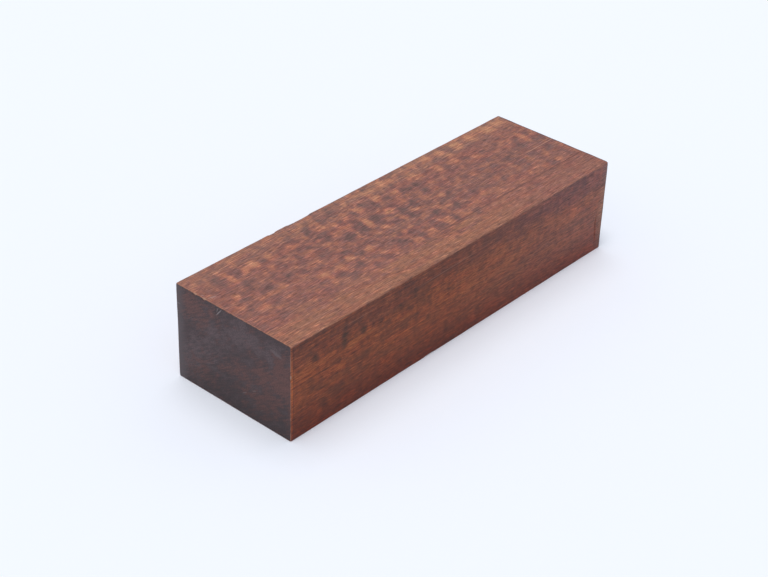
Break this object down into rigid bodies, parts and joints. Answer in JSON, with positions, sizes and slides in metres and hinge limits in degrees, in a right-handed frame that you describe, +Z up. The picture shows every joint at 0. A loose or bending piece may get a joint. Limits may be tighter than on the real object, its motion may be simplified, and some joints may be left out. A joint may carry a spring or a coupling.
{
  "type": "snakewood blank",
  "caption": "Squared blank of dark red-brown snakewood with a flecked, snakeskin-like figure and a dark end, to be carved, turned or sliced into handles and inlay.",
  "frame": {"origin": "centre of the flat base, on the surface that the piece rests on", "axes": "+X along the grain from the end shown nearest the viewer to the far end, +Y across the width towards the picture's left side, +Z up"},
  "size_m": [0.128, 0.04, 0.0283],
  "materials": {
    "snakewood": "planed and lightly worn bare wood with a low satin sheen; orange and dark purple-brown flecks on a red-brown ground, fine straight grain, dark waxed end grain"
  },
  "bodies": {
    "root": {"snakewood_block": "snakewood"}
  },
  "joints": []
}
